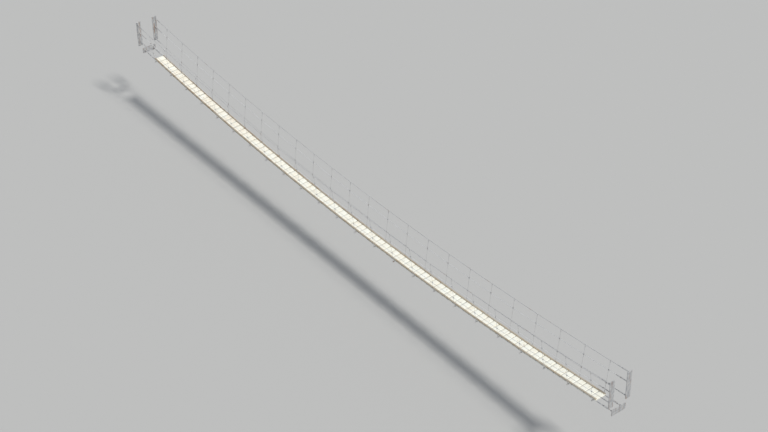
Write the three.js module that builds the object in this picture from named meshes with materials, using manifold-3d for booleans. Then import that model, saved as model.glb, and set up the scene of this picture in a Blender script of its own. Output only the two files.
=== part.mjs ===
// Rope suspension footbridge, hung between two upright anchor faces.
// X runs along the bridge from its left anchors to its right ones, Y points to the far side and Z is up.
// The origin is on the back face of the left deck anchor plate, level with the deck cables.
import * as THREE from 'three';
import { mergeVertices } from 'three/addons/utils/BufferGeometryUtils.js';
import Module from 'manifold-3d';

const wasm = await Module();
wasm.setup();

// Driving dimensions, in millimetres

// Span and sag of the carrying cables, from anchor face to anchor face
const SPAN = 26200;
const SAG = 776;
const SEAT_GAP = 0.3;

// Deck: crosswise boards under two edge runners
const DECK_LENGTH = 24700;
const DECK_WIDTH = 420;
const BOARD_COUNT = 93;
const BOARD_WIDTH = 222;
const BOARD_THICKNESS = 40;
const BOARDS_PER_SECTION = 8;
const RUNNER_WIDTH = 50;
const RUNNER_THICKNESS = 30;
const RUNNER_LET_IN = 5;
const RUNNER_JOINT = 2;

// Wire ropes
const DECK_CABLE_RADIUS = 12;
const HANDRAIL_RADIUS = 8;
const MIDDLE_ROPE_RADIUS = 8;
const LOWER_ROPE_RADIUS = 6;
const MAIN_ROPE_SIDES = 6;
const NET_ROPE_SIDES = 4;

// Foot brackets: flat steel under the deck cables at every fourth board, where the cables bend a little
const BOARDS_PER_BAY = 4;
const BEND_SEAT_GAP = 0.8;
const BRACKET_WIDTH = 40;
const BRACKET_THICKNESS = 8;
const BRACKET_INNER_Y = 150;
const BRACKET_OUTER_Y = 285;

// Sides: the nets lean outwards from the foot brackets to the handrails
const HANDRAIL_ABOVE_DECK = 1150;
const HANDRAIL_SPACING = 800;
const HANGER_FOOT_SPACING = 490;
const MIDDLE_ROPE_SHARE = 0.7;
const LOWER_ROPE_SHARE = 0.28;
const HANGER_THICKNESS = 10;

// Anchor plates, their lugs and bolts
const PLATE_THICKNESS = 20;
const DECK_PLATE_WIDTH = 560;
const DECK_PLATE_HEIGHT = 230;
const SIDE_PLATE_WIDTH = 190;
const SIDE_PLATE_MARGIN = 110;
const LUG_THICKNESS = 12;
const LUG_RADIUS = 24;
const PIN_X = 75;
const PIN_RADIUS = 8;
const PIN_CLEARANCE = 0.5;
const BOLT_EDGE = 42;
const NUT_RADIUS = 17;
const NUT_HEIGHT = 16;
const NUT_LET_IN = 4;
const DECK_BOLT_ROWS = 2;
const SIDE_BOLT_ROWS = 3;

// Rigging screws, measured from the lug's pin towards the span
const FORK_BACK = 22;
const FORK_HEIGHT = 34;
const FORK_CHEEK = 9;
const FORK_SLOT_END = 36;
const FORK_END = 56;
const BARREL_START = 105;
const BARREL_END = 350;
const BARREL_RADIUS = 19;
const SPINDLE_RADIUS = 9;
const SPINDLE_LAP = 10;
const SLEEVE_START = 395;
const SLEEVE_END = 520;
const SLEEVE_RADIUS = 15;
const FITTING_SIDES = 6;
const NOSE_SIDES = 12;

// Worked out from the driving dimensions
const BOARD_PITCH = (DECK_LENGTH - BOARD_WIDTH) / (BOARD_COUNT - 1);
const FIRST_BOARD_X = (SPAN - DECK_LENGTH + BOARD_WIDTH) / 2;
const CABLE_Y = (DECK_WIDTH - RUNNER_WIDTH) / 2;
const BOARD_BOTTOM = DECK_CABLE_RADIUS + SEAT_GAP;
const DECK_TOP = BOARD_BOTTOM + BOARD_THICKNESS;
const BRACKET_TOP = -DECK_CABLE_RADIUS - SEAT_GAP;
const HANDRAIL_HEIGHT = DECK_TOP + HANDRAIL_ABOVE_DECK;
const MIDDLE_HEIGHT = DECK_TOP + HANDRAIL_ABOVE_DECK * MIDDLE_ROPE_SHARE;
const LOWER_HEIGHT = DECK_TOP + HANDRAIL_ABOVE_DECK * LOWER_ROPE_SHARE;

const SIDES = [{ name: 'near', sign: -1 }, { name: 'far', sign: 1 }];
const ENDS = [
  { name: 'left', x: 0, turn: 0, sign: 1 },
  { name: 'right', x: SPAN, turn: Math.PI, sign: -1 },
];

// Finishes
const boardTimber = { color: 0xd8cba6, roughness: 0.85, metalness: 0 };
const wireRope = { color: 0x9a9ca0, roughness: 0.5, metalness: 0.8 };
const netWire = { color: 0xa9abb0, roughness: 0.5, metalness: 0.75 };
const galvanised = { color: 0x8d9195, roughness: 0.45, metalness: 0.85 };
const anchorSteel = { color: 0x6f7072, roughness: 0.6, metalness: 0.7 };

// Turns a closed geometry into a solid that can be joined and cut
function solidOf(geometry) {
  const bare = geometry.clone();
  bare.deleteAttribute('normal');
  bare.deleteAttribute('uv');
  const merged = mergeVertices(bare, 1e-3);
  return new wasm.Manifold(new wasm.Mesh({
    numProp: 3,
    vertProperties: merged.attributes.position.array,
    triVerts: new Uint32Array(merged.index.array),
  }));
}

function geometryOf(solid) {
  const mesh = solid.getMesh();
  const geometry = new THREE.BufferGeometry();
  geometry.setAttribute('position', new THREE.BufferAttribute(mesh.vertProperties, 3));
  geometry.setIndex(new THREE.BufferAttribute(mesh.triVerts, 1));
  geometry.computeVertexNormals();
  return geometry;
}

function join(geometries) {
  return geometries.map(solidOf).reduce((whole, piece) => whole.add(piece));
}

function namedMesh(name, geometry, finish) {
  const mesh = new THREE.Mesh(geometry, new THREE.MeshStandardMaterial(finish));
  mesh.name = name;
  return mesh;
}

// Height of the hanging parabola
function parabolaAt(x) {
  const share = x / SPAN;
  return -4 * SAG * share * (1 - share);
}

function boardX(index) {
  return FIRST_BOARD_X + index * BOARD_PITCH;
}

// The ropes bend a little at every foot bracket and are straight between, out to the anchor pins
const bracketX = [];
for (let index = 0; index < BOARD_COUNT; index += BOARDS_PER_BAY) {
  bracketX.push(boardX(index));
}
const cornerX = [PIN_X, ...bracketX, SPAN - PIN_X];
const END_SLOPE = (parabolaAt(bracketX[0]) - parabolaAt(PIN_X)) / (bracketX[0] - PIN_X);
const END_TILT = -Math.atan(END_SLOPE);

// Index of the straight stretch that holds x
function stretchAt(x) {
  const last = cornerX.length - 2;
  const found = cornerX.findIndex((corner, index) => index <= last && x < cornerX[index + 1]);
  return found < 0 ? last : found;
}

function stretchSlope(index) {
  const rise = parabolaAt(cornerX[index + 1]) - parabolaAt(cornerX[index]);
  return rise / (cornerX[index + 1] - cornerX[index]);
}

// Height of the straight-sided line at x
function lineZ(x) {
  const index = stretchAt(x);
  return parabolaAt(cornerX[index]) + stretchSlope(index) * (x - cornerX[index]);
}

// Slope angle of the line at x: the mean of both stretches where x is a corner
function slopeAt(x) {
  const after = stretchAt(x);
  const before = stretchAt(x - 1);
  return (Math.atan(stretchSlope(before)) + Math.atan(stretchSlope(after))) / 2;
}

// Point at a distance square to the line, above its place x
function pointAbove(x, distance, y = 0) {
  const angle = slopeAt(x);
  return new THREE.Vector3(x - Math.sin(angle) * distance, y, lineZ(x) + Math.cos(angle) * distance);
}

// A block whose middle lies at a distance square to the line, turned with the line's slope
function blockAbove(x, distance, length, width, thickness) {
  const geometry = new THREE.BoxGeometry(length, width, thickness);
  geometry.rotateY(-slopeAt(x));
  const middle = pointAbove(x, distance);
  geometry.translate(middle.x, middle.y, middle.z);
  return geometry;
}

// A square bar from one point to another
function barBetween(start, end, thickness) {
  const run = new THREE.Vector3().subVectors(end, start);
  const geometry = new THREE.BoxGeometry(thickness, thickness, run.length());
  const upright = new THREE.Vector3(0, 0, 1);
  geometry.applyQuaternion(new THREE.Quaternion().setFromUnitVectors(upright, run.clone().normalize()));
  const middle = new THREE.Vector3().addVectors(start, end).multiplyScalar(0.5);
  geometry.translate(middle.x, middle.y, middle.z);
  return geometry;
}

// A line of straight stretches whose cross-sections fall on its corners
class CornerLine extends THREE.Curve {
  constructor(corners) {
    super();
    this.corners = corners;
  }

  getPoint(t, target = new THREE.Vector3()) {
    const place = t * (this.corners.length - 1);
    const first = Math.min(Math.floor(place), this.corners.length - 2);
    return target.lerpVectors(this.corners[first], this.corners[first + 1], place - first);
  }

  getPointAt(t, target) {
    return this.getPoint(t, target);
  }

  getTangentAt(t, target) {
    return this.getTangent(t, target);
  }
}

// A regular outline with flats at the given radius, one of them on top
function roundOutline(radius, sides) {
  const corner = radius / Math.cos(Math.PI / sides);
  const points = [];
  for (let index = 0; index < sides; index += 1) {
    const angle = Math.PI / 2 + ((index + 0.5) * 2 * Math.PI) / sides;
    points.push(new THREE.Vector2(corner * Math.cos(angle), corner * Math.sin(angle)));
  }
  return new THREE.Shape(points);
}

// A wire rope parallel to the deck cables, from one swaged sleeve to the other
function ropeGeometry(y, height, radius, sides, sleeveEnd) {
  const reach = PIN_X + (sleeveEnd + SEAT_GAP) * Math.cos(END_TILT);
  const ropeX = [reach, ...bracketX, SPAN - reach];
  const corners = ropeX.map((x) => new THREE.Vector3(x, y, lineZ(x) + height));
  return new THREE.ExtrudeGeometry(roundOutline(radius, sides), {
    steps: corners.length - 1,
    extrudePath: new CornerLine(corners),
  });
}

// The lean of the sides: half the spacing at a height above the deck cables
function sideY(height) {
  const foot = HANGER_FOOT_SPACING / 2;
  const share = (height - BRACKET_TOP) / (HANDRAIL_HEIGHT - BRACKET_TOP);
  return foot + (HANDRAIL_SPACING / 2 - foot) * share;
}

// The four ropes of each side, with the size of their rigging screws
const ROPES = [
  { name: 'deck', y: CABLE_Y, height: 0, radius: DECK_CABLE_RADIUS, size: 1.2 },
  { name: 'lower', y: sideY(LOWER_HEIGHT), height: LOWER_HEIGHT, radius: LOWER_ROPE_RADIUS, size: 0.8 },
  { name: 'middle', y: sideY(MIDDLE_HEIGHT), height: MIDDLE_HEIGHT, radius: MIDDLE_ROPE_RADIUS, size: 0.9 },
  {
    name: 'handrail',
    y: sideY(HANDRAIL_HEIGHT),
    height: HANDRAIL_HEIGHT,
    radius: HANDRAIL_RADIUS,
    size: 0.9,
  },
];
const [DECK_ROPE, LOWER_ROPE, MIDDLE_ROPE, HANDRAIL_ROPE] = ROPES;

// Deck

function boardGeometry(index) {
  const onBend = index % BOARDS_PER_BAY === 0;
  const seat = DECK_CABLE_RADIUS + (onBend ? BEND_SEAT_GAP : SEAT_GAP);
  return blockAbove(boardX(index), seat + BOARD_THICKNESS / 2, BOARD_WIDTH, DECK_WIDTH, BOARD_THICKNESS);
}

// An edge runner follows the deck from startX to endX, let into the board tops
function runnerGeometry(startX, endX, side) {
  const corners = [startX, ...bracketX.filter((x) => x > startX + 1 && x < endX - 1), endX];
  const bottom = DECK_TOP - RUNNER_LET_IN;
  const lower = corners.map((x) => pointAbove(x, bottom));
  const upper = corners.map((x) => pointAbove(x, bottom + RUNNER_THICKNESS)).reverse();
  const outline = [...lower, ...upper].map((point) => new THREE.Vector2(point.x, point.z));
  const geometry = new THREE.ExtrudeGeometry(new THREE.Shape(outline), {
    depth: RUNNER_WIDTH,
    bevelEnabled: false,
  });
  geometry.rotateX(Math.PI / 2);
  geometry.translate(0, side.sign * CABLE_Y + RUNNER_WIDTH / 2, 0);
  return geometry;
}

// The runners of a section reach to the middle of the gap before the next section, or to the deck's end
function deckSection(number) {
  const first = number * BOARDS_PER_SECTION;
  const last = Math.min(first + BOARDS_PER_SECTION, BOARD_COUNT) - 1;
  const toJoint = (BOARD_PITCH - RUNNER_JOINT) / 2;
  const startX = boardX(first) - (first === 0 ? BOARD_WIDTH / 2 : toJoint);
  const endX = boardX(last) + (last === BOARD_COUNT - 1 ? BOARD_WIDTH / 2 : toJoint);
  const pieces = SIDES.map((side) => runnerGeometry(startX, endX, side));
  for (let index = first; index <= last; index += 1) {
    pieces.push(boardGeometry(index));
  }
  const name = `deck_section_${String(number + 1).padStart(2, '0')}`;
  return namedMesh(name, geometryOf(join(pieces)), boardTimber);
}

// Sides

// A foot bracket lies crosswise under the deck cable and sticks out beside the board ends
function bracketGeometry(x, side) {
  const width = BRACKET_OUTER_Y - BRACKET_INNER_Y;
  const middle = BRACKET_TOP - BRACKET_THICKNESS / 2;
  const bracket = blockAbove(x, middle, BRACKET_WIDTH, width, BRACKET_THICKNESS);
  bracket.translate(0, side.sign * (BRACKET_INNER_Y + width / 2), 0);
  return bracket;
}

// A hanger stands in a foot bracket and carries the handrail, square-cut at both ends
function hangerGeometry(x, side) {
  const lean = Math.atan2(HANDRAIL_ROPE.y - HANGER_FOOT_SPACING / 2, HANDRAIL_HEIGHT - BRACKET_TOP);
  const cornerRise = (Math.sin(lean) + Math.abs(Math.sin(slopeAt(x)))) * HANGER_THICKNESS / 2;
  const railDrop = HANDRAIL_RADIUS + SEAT_GAP + cornerRise;
  const foot = pointAbove(x, BRACKET_TOP - BRACKET_THICKNESS / 2, side.sign * HANGER_FOOT_SPACING / 2);
  const headY = sideY(HANDRAIL_HEIGHT - railDrop);
  const head = new THREE.Vector3(x, side.sign * headY, lineZ(x) + HANDRAIL_HEIGHT - railDrop);
  return barBetween(foot, head, HANGER_THICKNESS);
}

function sideNet(side) {
  const pieces = [];
  for (const rope of [LOWER_ROPE, MIDDLE_ROPE]) {
    const sleeveEnd = SLEEVE_END * rope.size;
    pieces.push(ropeGeometry(side.sign * rope.y, rope.height, rope.radius, NET_ROPE_SIDES, sleeveEnd));
  }
  for (const x of bracketX) {
    pieces.push(bracketGeometry(x, side), hangerGeometry(x, side));
  }
  return namedMesh(`side_net_${side.name}`, geometryOf(join(pieces)), netWire);
}

function mainRope(rope, name, side) {
  const sleeveEnd = SLEEVE_END * rope.size;
  const geometry = ropeGeometry(side.sign * rope.y, rope.height, rope.radius, MAIN_ROPE_SIDES, sleeveEnd);
  return namedMesh(`${name}_${side.name}`, geometry, wireRope);
}

// Rigging screws

// A fork with its pin, a spindle each way out of the barrel, and the sleeve swaged on the rope
function tensionerGeometry(size) {
  const slot = (LUG_THICKNESS / 2 + PIN_CLEARANCE) / size;
  const cheek = slot + FORK_CHEEK;
  const forkOutline = new THREE.Shape([
    new THREE.Vector2(-FORK_BACK, -cheek),
    new THREE.Vector2(FORK_END, -cheek),
    new THREE.Vector2(FORK_END, cheek),
    new THREE.Vector2(-FORK_BACK, cheek),
    new THREE.Vector2(-FORK_BACK, slot),
    new THREE.Vector2(FORK_SLOT_END, slot),
    new THREE.Vector2(FORK_SLOT_END, -slot),
    new THREE.Vector2(-FORK_BACK, -slot),
  ]);
  const fork = new THREE.ExtrudeGeometry(forkOutline, { depth: FORK_HEIGHT, bevelEnabled: false });
  fork.translate(0, 0, -FORK_HEIGHT / 2);
  const profile = [
    new THREE.Vector2(0, FORK_END - SPINDLE_LAP),
    new THREE.Vector2(SPINDLE_RADIUS, FORK_END - SPINDLE_LAP),
    new THREE.Vector2(SPINDLE_RADIUS, BARREL_START),
    new THREE.Vector2(BARREL_RADIUS, BARREL_START),
    new THREE.Vector2(BARREL_RADIUS, BARREL_END),
    new THREE.Vector2(SPINDLE_RADIUS, BARREL_END),
    new THREE.Vector2(SPINDLE_RADIUS, SLEEVE_START),
    new THREE.Vector2(SLEEVE_RADIUS, SLEEVE_START),
    new THREE.Vector2(SLEEVE_RADIUS, SLEEVE_END),
    new THREE.Vector2(0, SLEEVE_END),
  ];
  const screw = new THREE.LatheGeometry(profile, FITTING_SIDES);
  screw.rotateZ(-Math.PI / 2);
  const pieces = [fork, screw];
  for (const piece of pieces) {
    piece.scale(size, size, size);
  }
  const pinLength = 2 * size * cheek + NUT_HEIGHT;
  pieces.push(new THREE.CylinderGeometry(PIN_RADIUS, PIN_RADIUS, pinLength, FITTING_SIDES));
  return geometryOf(join(pieces));
}

function tensioner(rope, end, side) {
  const name = `tensioner_${end.name}_${side.name}_${rope.name}`;
  const mesh = namedMesh(name, tensionerGeometry(rope.size), galvanised);
  mesh.position.set(PIN_X, end.sign * side.sign * rope.y, parabolaAt(PIN_X) + rope.height);
  mesh.rotation.y = END_TILT;
  return mesh;
}

// Anchor plates

// A lug stands out of the plate around the pin hole of one rigging screw
function lugGeometry(y, z) {
  const root = PLATE_THICKNESS / 2;
  const bar = new THREE.BoxGeometry(PIN_X - root, LUG_THICKNESS, 2 * LUG_RADIUS);
  bar.translate((PIN_X + root) / 2, 0, 0);
  const nose = new THREE.CylinderGeometry(LUG_RADIUS, LUG_RADIUS, LUG_THICKNESS, NOSE_SIDES);
  nose.translate(PIN_X, 0, 0);
  const hole = new THREE.CylinderGeometry(
    PIN_RADIUS + PIN_CLEARANCE,
    PIN_RADIUS + PIN_CLEARANCE,
    2 * LUG_THICKNESS,
    FITTING_SIDES,
  );
  hole.rotateY(END_TILT);
  hole.translate(PIN_X, 0, 0);
  const lug = geometryOf(join([bar, nose]).subtract(solidOf(hole)));
  lug.translate(0, y, z);
  return lug;
}

function nutGeometry(y, z) {
  const nut = new THREE.CylinderGeometry(NUT_RADIUS, NUT_RADIUS, NUT_HEIGHT + NUT_LET_IN, 6);
  nut.rotateZ(Math.PI / 2);
  nut.translate(PLATE_THICKNESS + (NUT_HEIGHT - NUT_LET_IN) / 2, y, z);
  return nut;
}

function plateGeometry(middleY, bottomZ, width, height, ropes, boltRows, signs) {
  const plate = new THREE.BoxGeometry(PLATE_THICKNESS, width, height);
  plate.translate(PLATE_THICKNESS / 2, middleY, bottomZ + height / 2);
  const pieces = [plate];
  for (const rope of ropes) {
    for (const sign of signs) {
      pieces.push(lugGeometry(sign * rope.y, parabolaAt(PIN_X) + rope.height));
    }
  }
  const rowStep = (height - 2 * BOLT_EDGE) / (boltRows - 1);
  for (let row = 0; row < boltRows; row += 1) {
    for (const sign of [-1, 1]) {
      const boltY = middleY + sign * (width / 2 - BOLT_EDGE);
      pieces.push(nutGeometry(boltY, bottomZ + BOLT_EDGE + row * rowStep));
    }
  }
  return geometryOf(join(pieces));
}

function deckPlate(end) {
  const geometry = plateGeometry(
    0,
    -DECK_PLATE_HEIGHT / 2,
    DECK_PLATE_WIDTH,
    DECK_PLATE_HEIGHT,
    [DECK_ROPE],
    DECK_BOLT_ROWS,
    [-1, 1],
  );
  return namedMesh(`anchor_plate_${end.name}_deck`, geometry, anchorSteel);
}

function sidePlate(end, side) {
  const sign = end.sign * side.sign;
  const middleY = sign * (LOWER_ROPE.y + HANDRAIL_ROPE.y) / 2;
  const bottomZ = LOWER_HEIGHT - SIDE_PLATE_MARGIN;
  const height = HANDRAIL_HEIGHT - LOWER_HEIGHT + 2 * SIDE_PLATE_MARGIN;
  const ropes = [LOWER_ROPE, MIDDLE_ROPE, HANDRAIL_ROPE];
  const geometry = plateGeometry(middleY, bottomZ, SIDE_PLATE_WIDTH, height, ropes, SIDE_BOLT_ROWS, [sign]);
  return namedMesh(`anchor_plate_${end.name}_${side.name}`, geometry, anchorSteel);
}

// Assembly

const group = new THREE.Group();

for (let number = 0; number * BOARDS_PER_SECTION < BOARD_COUNT; number += 1) {
  group.add(deckSection(number));
}
for (const side of SIDES) {
  group.add(mainRope(DECK_ROPE, 'deck_cable', side));
  group.add(mainRope(HANDRAIL_ROPE, 'handrail_cable', side));
  group.add(sideNet(side));
}
for (const end of ENDS) {
  const anchorage = new THREE.Group();
  anchorage.position.x = end.x;
  anchorage.rotation.z = end.turn;
  anchorage.add(deckPlate(end));
  for (const side of SIDES) {
    anchorage.add(sidePlate(end, side));
    for (const rope of ROPES) {
      anchorage.add(tensioner(rope, end, side));
    }
  }
  group.add(anchorage);
}

export default group;
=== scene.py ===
import math

import bpy
import numpy as np
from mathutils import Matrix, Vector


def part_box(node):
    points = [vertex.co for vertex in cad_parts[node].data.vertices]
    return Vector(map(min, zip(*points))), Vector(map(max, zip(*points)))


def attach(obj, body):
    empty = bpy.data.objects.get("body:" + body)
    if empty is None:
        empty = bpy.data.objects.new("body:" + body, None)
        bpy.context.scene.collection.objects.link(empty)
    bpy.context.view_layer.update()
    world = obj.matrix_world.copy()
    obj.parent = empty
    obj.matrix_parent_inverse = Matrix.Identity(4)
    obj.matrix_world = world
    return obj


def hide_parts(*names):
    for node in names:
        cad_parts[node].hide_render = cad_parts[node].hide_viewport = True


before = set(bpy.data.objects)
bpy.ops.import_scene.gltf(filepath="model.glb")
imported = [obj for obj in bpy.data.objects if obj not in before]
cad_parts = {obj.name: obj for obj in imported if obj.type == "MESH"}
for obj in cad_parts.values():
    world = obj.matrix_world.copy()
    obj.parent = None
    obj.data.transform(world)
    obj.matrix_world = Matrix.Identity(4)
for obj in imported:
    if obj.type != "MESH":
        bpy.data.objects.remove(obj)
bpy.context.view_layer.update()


# Camera, floor and light
# The camera stands at the photograph's viewpoint: on the near side, past the right end, 35 m above the
# deck and 59 m away. Its lens is longer than the photograph's, so that the bridge fills the frame.

CAMERA_PLACE = (51.68, -27.69, 34.80)
CAMERA_PITCH = math.radians(36.0)
CAMERA_HEADING = math.radians(51.17)
PHOTO_LENS_MM = 35.16
CLOSER = 2.3
BRIDGE_MIDDLE_PX = (365.0, 225.0)
FRAME_PX = (768.0, 432.0)
VIEW_REACH = 1000.0
FLOOR_Z = -3.0
FLOOR_REACH = 400.0
FLOOR_COLOUR = (0.43, 0.43, 0.425, 1.0)
SUN_TILT = math.radians(38.7)
SUN_HEADING = math.radians(94.6)
SUN_SPREAD = math.radians(7.0)
SUN_STRENGTH = 2.85
SUN_COLOUR = (1.0, 0.975, 0.93)
SKY_STRENGTH = 0.53
SKY_COLOUR = (0.88, 0.93, 1.0, 1.0)

camera_data = bpy.data.cameras.new("camera")
camera_data.lens = PHOTO_LENS_MM * CLOSER
camera_data.shift_x = (BRIDGE_MIDDLE_PX[0] - FRAME_PX[0] / 2) * CLOSER / FRAME_PX[0]
camera_data.shift_y = (FRAME_PX[1] / 2 - BRIDGE_MIDDLE_PX[1]) * CLOSER / FRAME_PX[0]
camera_data.clip_end = VIEW_REACH
camera = bpy.data.objects.new("camera", camera_data)
camera.location = CAMERA_PLACE
camera.rotation_euler = (math.pi / 2 - CAMERA_PITCH, 0.0, CAMERA_HEADING)
bpy.context.scene.collection.objects.link(camera)
bpy.context.scene.camera = camera
bpy.context.scene.view_settings.view_transform = "Standard"

sun_data = bpy.data.lights.new("sun", "SUN")
sun_data.energy = SUN_STRENGTH
sun_data.angle = SUN_SPREAD
sun_data.color = SUN_COLOUR
sun = bpy.data.objects.new("sun", sun_data)
sun.rotation_euler = (SUN_TILT, 0.0, SUN_HEADING)
bpy.context.scene.collection.objects.link(sun)

world = bpy.data.worlds.new("studio")
world.use_nodes = True
sky = world.node_tree.nodes["Background"]
sky.inputs["Color"].default_value = SKY_COLOUR
sky.inputs["Strength"].default_value = SKY_STRENGTH
bpy.context.scene.world = world


def new_material(name):
    """A node material, its tree and its main shader."""
    material = bpy.data.materials.new(name)
    material.use_nodes = True
    return material, material.node_tree, material.node_tree.nodes["Principled BSDF"]


floor_material, tree, shader = new_material("pale_floor")
shader.inputs["Base Color"].default_value = FLOOR_COLOUR
shader.inputs["Roughness"].default_value = 0.9
floor_mesh = bpy.data.meshes.new("floor")
quarters = [(-1, -1), (1, -1), (1, 1), (-1, 1)]
corners = [(x * FLOOR_REACH, y * FLOOR_REACH, FLOOR_Z) for x, y in quarters]
floor_mesh.from_pydata(corners, [], [(0, 1, 2, 3)])
floor_mesh.materials.append(floor_material)
floor = bpy.data.objects.new("floor", floor_mesh)
bpy.context.scene.collection.objects.link(floor)


# Anchor plates
# Steel plates of 20 mm, held by hexagon nuts on grouted studs. Each rope pulls on a lug that is welded to
# the plate. They are hot-dip galvanised, with rust running down from the nuts and the welds.

SPAN = 26.2
SAG = 0.776
DECK_CABLE_Y = 0.185
DECK_TOP = 0.0523
SIDE_HEIGHT = 1.15
HANDRAIL_LIFT = DECK_TOP + SIDE_HEIGHT
MIDDLE_LIFT = DECK_TOP + SIDE_HEIGHT * 0.70
LOWER_LIFT = DECK_TOP + SIDE_HEIGHT * 0.28
BRACKET_TOP = -0.0123
SIDE_FOOT_Y = 0.245
HANDRAIL_Y = 0.40
PIN_X = 0.075
PLATE_THICKNESS = 0.020
PLATE_CORNER = 0.018
PLATE_BEVEL = 0.002
LUG_THICKNESS = 0.012
LUG_RADIUS = 0.024
LUG_ROOT_HALF_HEIGHT = 0.0288
LUG_LET_IN = 0.004
LUG_BEVEL = 0.0015
WELD_SIZE = 0.0048
WELD_REACH = 0.0276
WELD_END_SHARE = 0.4
WELD_RIPPLE_HEIGHT = 0.18
WELD_RIPPLE_TURN = 1500.0
BOLT_EDGE = 0.042
NUT_RADIUS = 0.017
NUT_HEIGHT = 0.014
NUT_CHAMFER_START = 0.85
NUT_CHAMFER_END = 0.88
WASHER_RADIUS = 0.024
WASHER_THICKNESS = 0.004
WASHER_BEVEL = 0.0008
STUD_RADIUS = 0.008
STUD_IN_NUT = 0.002
STUD_PROUD = 0.012
SIDES = {"near": -1.0, "far": 1.0}
ENDS = {"left": (0.0, 1.0), "right": (SPAN, -1.0)}
OUT_OF_PLATE = ((0, 1, 0), (0, 0, 1), (1, 0, 0))
ACROSS = ((1, 0, 0), (0, 0, 1), (0, -1, 0))


def side_y(lift):
    """Half the spacing of the leaning sides at a height over the deck cables."""
    share = (lift - BRACKET_TOP) / (HANDRAIL_LIFT - BRACKET_TOP)
    return SIDE_FOOT_Y + (HANDRAIL_Y - SIDE_FOOT_Y) * share


# Each rope of a side: its distance from the middle, its height over the deck cables and its screws' size
ROPES = {
    "deck": (DECK_CABLE_Y, 0.0, 1.2),
    "lower": (side_y(LOWER_LIFT), LOWER_LIFT, 0.8),
    "middle": (side_y(MIDDLE_LIFT), MIDDLE_LIFT, 0.9),
    "handrail": (HANDRAIL_Y, HANDRAIL_LIFT, 0.9),
}


def cable_z(x):
    """The deck cables hang in a parabola: four times the sag times both shares of the span."""
    share = np.asarray(x, float) / SPAN
    return -4.0 * SAG * share * (1.0 - share)


def round_outline(radius, count, turn=0.0):
    """Points at equal angles on a circle, counter-clockwise."""
    angle = turn + np.arange(count) * 2.0 * math.pi / count
    return radius * np.stack([np.cos(angle), np.sin(angle)], -1)


def rounded_rectangle(width, height, radius, steps=4):
    """Quarter circles about the four inner corners, counter-clockwise from the right side."""
    quarter = np.linspace(0.0, math.pi / 2, steps)
    angle = (quarter + np.arange(4)[:, None] * math.pi / 2).ravel()
    centre = np.repeat([[1, 1], [-1, 1], [-1, -1], [1, -1]], steps, axis=0)
    inner = centre * [width / 2 - radius, height / 2 - radius]
    return inner + radius * np.stack([np.cos(angle), np.sin(angle)], -1)


def stack(outline, heights, scales):
    """One solid: rings of an outline at heights along Z, each scaled about the middle of the outline."""
    outline = np.asarray(outline)
    rings = np.empty((1, len(heights), len(outline), 3))
    rings[0, :, :, :2] = outline * np.asarray(scales, float)[:, None, None]
    rings[0, :, :, 2] = np.asarray(heights, float)[:, None]
    return rings


def slab(outline, thickness, bevel):
    """A plate of an outline from Z 0 up to its thickness, with its edges bevelled."""
    edge = 1.0 - bevel / np.abs(outline).max()
    return stack(outline, [0.0, bevel, thickness - bevel, thickness], [edge, 1.0, 1.0, edge])


def hexagon_nut(radius, height, turn=0.0):
    """A hexagon on Z, chamfered at its outer face."""
    heights = [0.0, height * NUT_CHAMFER_START, height]
    return stack(round_outline(radius, 6, turn), heights, [1.0, 1.0, NUT_CHAMFER_END])


def moved(rings, origin, axes):
    """Solids carried to an origin, with their own X, Y and Z laid along three directions."""
    return rings @ np.array(axes, float) + np.asarray(origin, float)


def point_rows(grid):
    """The points of stacked rings in rows, and after each stack the middles of its two end rings."""
    bodies, count, points, size = grid.shape
    poles = grid[:, [0, -1]].mean(axis=2)
    return np.concatenate([grid.reshape(bodies, count * points, size), poles], axis=1).reshape(-1, size)


def skin_faces(shape):
    """Quads from ring to ring, and triangles from both end rings to their middles."""
    bodies, count, points = shape[:3]
    index = np.arange(count * points).reshape(count, points)
    after = np.roll(index, -1, axis=1)
    quads = np.stack([index[:-1], after[:-1], after[1:], index[1:]], -1).reshape(-1, 4)
    start = np.full(points, count * points)
    first = np.stack([start, after[0], index[0]], -1)
    last = np.stack([start + 1, index[-1], after[-1]], -1)
    shift = np.arange(bodies)[:, None, None] * (count * points + 2)
    return (quads + shift).reshape(-1, 4), (np.concatenate([first, last]) + shift).reshape(-1, 3)


def add_values(mesh, name, rows):
    """A value, or a vector, at each point of a mesh."""
    kind, field = ("FLOAT", "value") if rows.shape[1] == 1 else ("FLOAT_VECTOR", "vector")
    mesh.attributes.new(name, kind, "POINT").data.foreach_set(field, rows.astype(np.float32).ravel())


def add_turns(mesh, rows, quads, triangles):
    """A UV map of turns round and along a rope, with the last quad round it ending at one full turn."""
    corners = rows[quads]
    around = corners[..., 0]
    past_seam = (around.max(axis=1, keepdims=True) - around) > 0.5
    corners[..., 0] = around + past_seam
    loops = np.concatenate([corners.reshape(-1, 2), rows[triangles].reshape(-1, 2)])
    mesh.uv_layers.new(name="turns").data.foreach_set("uv", loops.astype(np.float32).ravel())


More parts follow.
